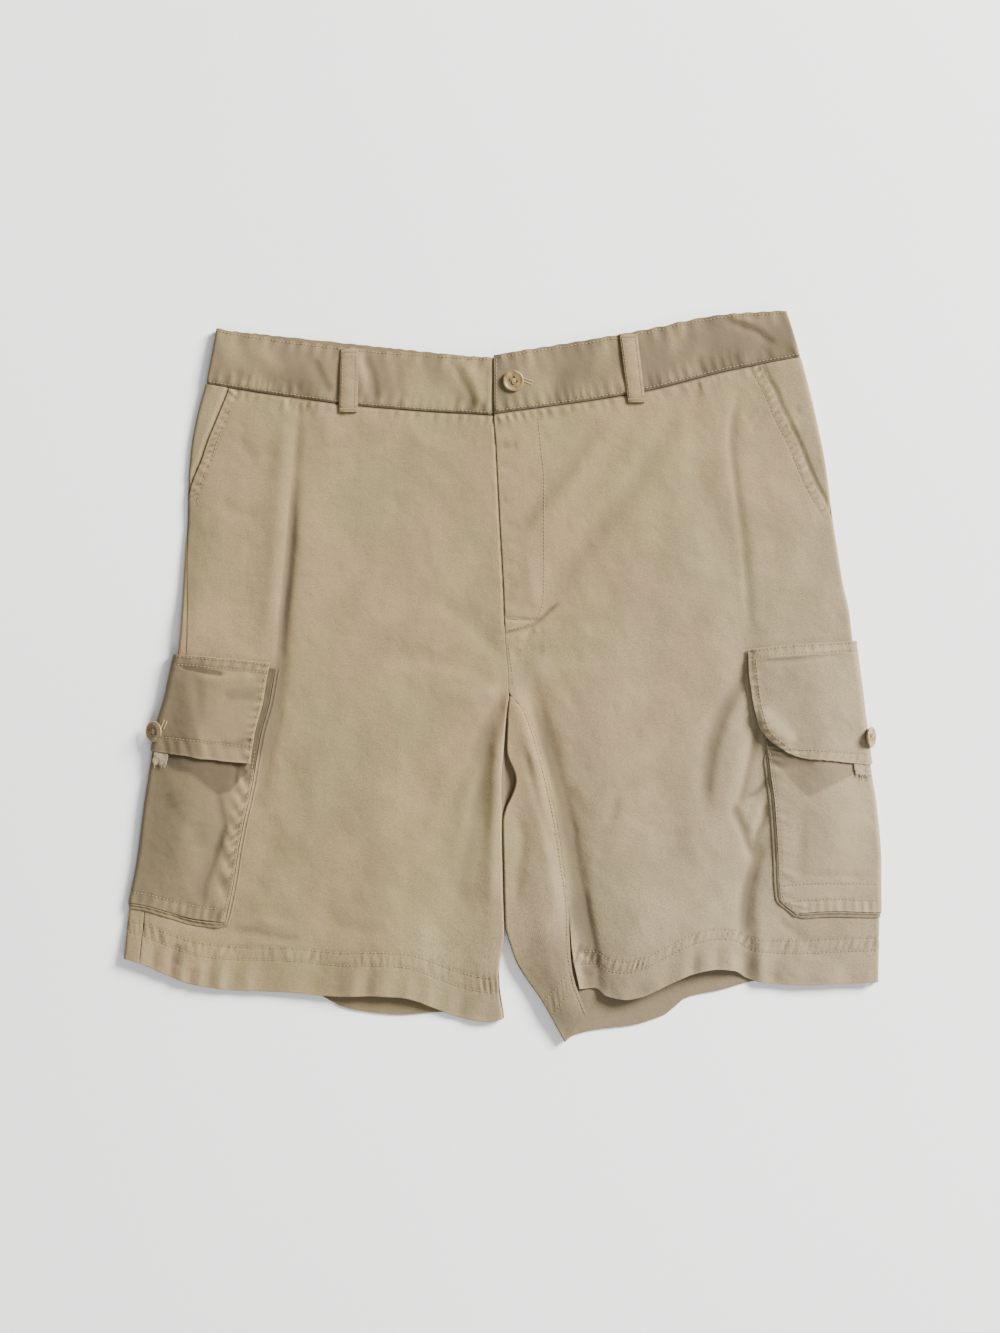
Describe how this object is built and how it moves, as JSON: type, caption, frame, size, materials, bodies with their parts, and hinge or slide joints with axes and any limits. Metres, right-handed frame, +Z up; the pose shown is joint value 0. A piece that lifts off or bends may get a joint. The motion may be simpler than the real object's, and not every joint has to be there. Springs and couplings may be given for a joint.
{
  "type": "cargo shorts",
  "caption": "Cotton twill cargo shorts laid flat, with slanted hip pockets, flapped bellows pockets over the side seams, belt loops and a buttoned fly.",
  "frame": {"origin": "middle of the garment's outline, on the surface that it lies on", "axes": "+X to the wearer's left, +Y from the hems towards the waist, +Z up, out of the front of the garment"},
  "size_m": [0.6048, 0.5835, 0.0181],
  "materials": {
    "twill": "khaki cotton twill, washed, matte",
    "twill_inside": "the same twill where it lies in shade behind an edge",
    "loop_tape": "undyed cotton tape with a frayed end",
    "horn": "tan horn-look resin, satin"
  },
  "bodies": {
    "root": {"front_right": "twill", "back_right": "twill", "waistband_right": "twill", "cargo_pocket_right": "twill", "cargo_gusset_right": "twill", "cargo_flap_right": "twill", "belt_loop_front_right": "twill", "hip_facing_right": "twill_inside", "flap_tab_right": "loop_tape", "flap_button_right": "horn", "front_left": "twill", "back_left": "twill", "waistband_left": "twill", "cargo_pocket_left": "twill", "cargo_gusset_left": "twill", "cargo_flap_left": "twill", "belt_loop_front_left": "twill", "hip_facing_left": "twill_inside", "flap_tab_left": "loop_tape", "flap_button_left": "horn", "fly_shield": "twill_inside", "waist_button": "horn"}
  },
  "joints": []
}
